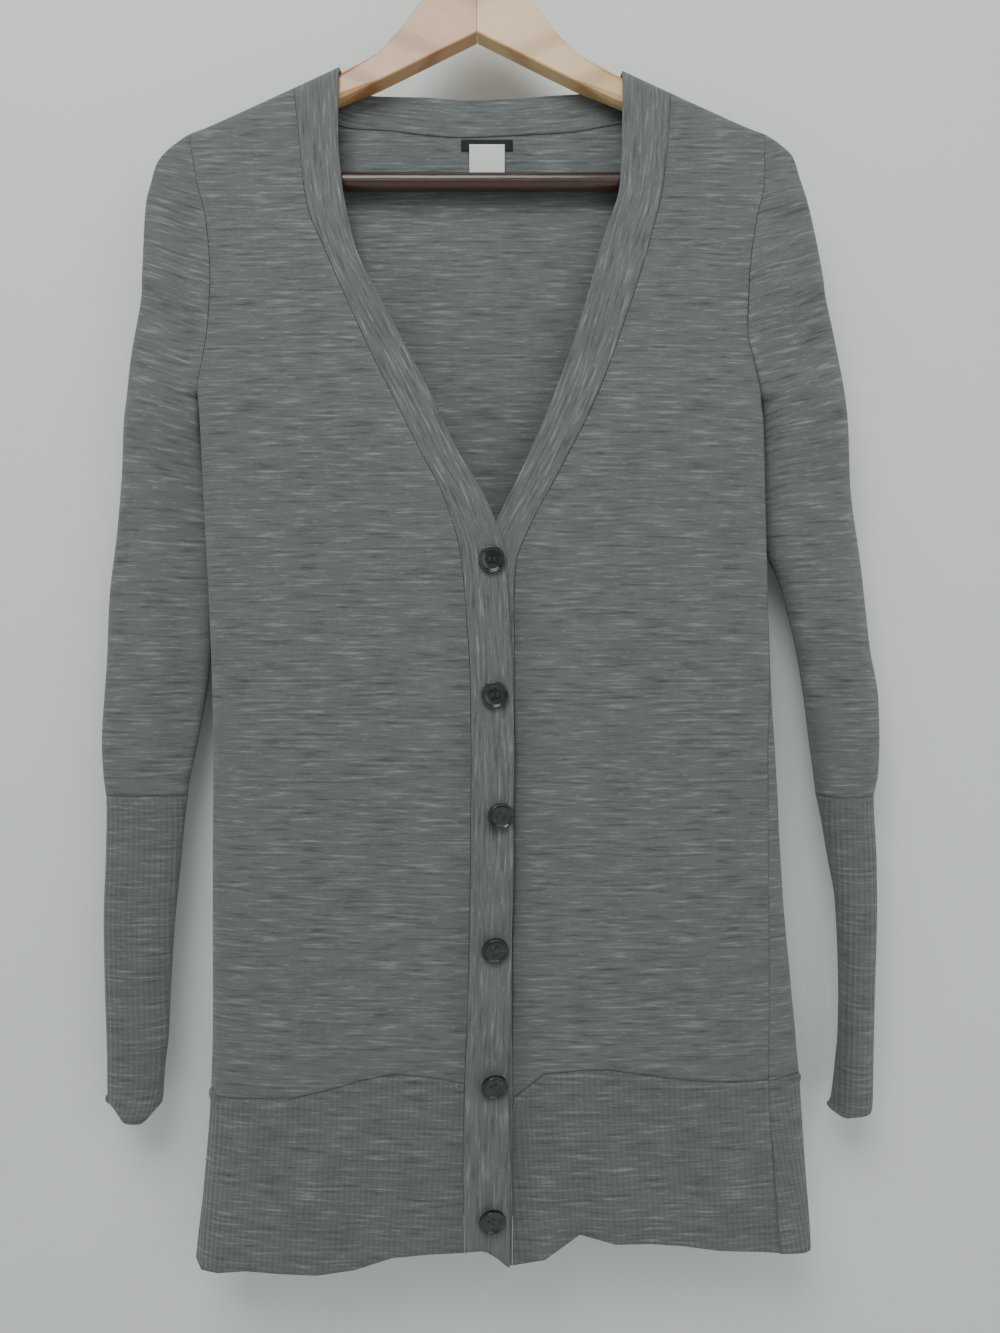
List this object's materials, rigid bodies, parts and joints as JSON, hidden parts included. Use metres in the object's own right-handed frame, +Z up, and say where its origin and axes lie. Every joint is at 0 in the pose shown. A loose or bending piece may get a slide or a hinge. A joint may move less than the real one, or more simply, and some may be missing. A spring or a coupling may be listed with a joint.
{
  "type": "button cardigan on a wooden hanger",
  "caption": "Fine-knit V-neck cardigan with long cuffs, hem band and hidden side pockets, buttoned down the front and hanging flat on a wooden hanger with a trouser bar.",
  "frame": {"origin": "the inside of the hook's bend, where a wardrobe rod carries the hanger", "axes": "+Z up, the front faces -Y, +X is the wearer's left (the viewer's right)"},
  "size_m": [0.5141, 0.0649, 0.9028],
  "materials": {
    "knit": "grey heather fine knit",
    "band_knit": "grey heather doubled knit",
    "bag_knit": "grey heather fine knit",
    "black_label": "black woven, bare",
    "white_label": "white woven, bare",
    "wood_reddish": "reddish varnished softwood",
    "wood_yellowish": "yellowish varnished softwood",
    "bar_wood": "dark brown satin",
    "wire": "plated steel wire",
    "button_face": "glossy black"
  },
  "bodies": {
    "root": {"back": "knit", "front_right": "knit", "front_left": "knit", "hem_back": "knit", "hem_front_right": "knit", "hem_front_left": "knit", "sleeve_right": "knit", "sleeve_left": "knit", "cuff_right": "knit", "cuff_left": "knit", "band_right": "band_knit", "band_left": "band_knit", "neckband_back": "band_knit", "pocket_bag_right": "bag_knit", "pocket_bag_left": "bag_knit", "brand_label": "black_label", "size_label": "white_label", "hanger_yoke_right": "wood_reddish", "hanger_yoke_left": "wood_yellowish", "hanger_bar": "bar_wood", "hanger_hook": "wire", "button_1": "button_face", "button_2": "button_face", "button_3": "button_face", "button_4": "button_face", "button_5": "button_face", "button_6": "button_face"}
  },
  "joints": []
}
